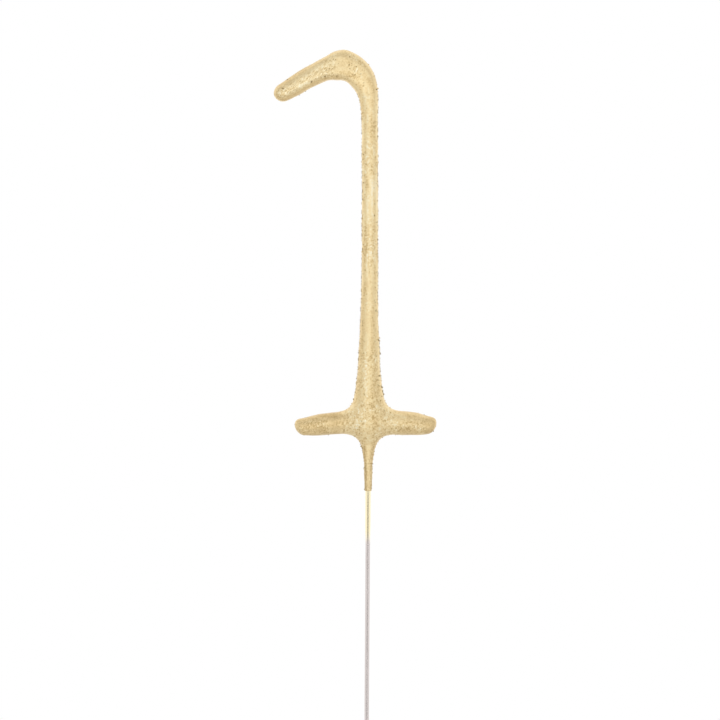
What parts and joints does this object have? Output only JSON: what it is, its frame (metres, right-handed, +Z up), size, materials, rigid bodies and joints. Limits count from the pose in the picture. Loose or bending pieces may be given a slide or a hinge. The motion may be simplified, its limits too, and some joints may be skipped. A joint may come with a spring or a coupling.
{
  "type": "sparkler",
  "caption": "Numeral-shaped cake sparkler: steel wire frame dipped in a grainy spark crust under gold lacquer, on a slim bare wire stick that is pushed into a cake.",
  "frame": {"origin": "centre of the stick's cut lower end", "axes": "+Z up along the stem, the numeral lies in the XZ plane with its flag towards -X, and its front faces -Y"},
  "size_m": [0.0383, 0.0066, 0.1776],
  "materials": {
    "steel_wire": "drawn wire, slightly dull",
    "first_crust": "dry grey spark composition, matt and grainy",
    "gold_crust": "dry spark composition with a satin gold lacquer, grainy",
    "gold_lacquer": "thin satin gold lacquer over the wire"
  },
  "bodies": {
    "root": {"stem_wire": "steel_wire", "foot_wire": "steel_wire", "base_dip": "first_crust", "top_dip": "gold_crust", "lacquer_sleeve": "gold_lacquer"}
  },
  "joints": []
}
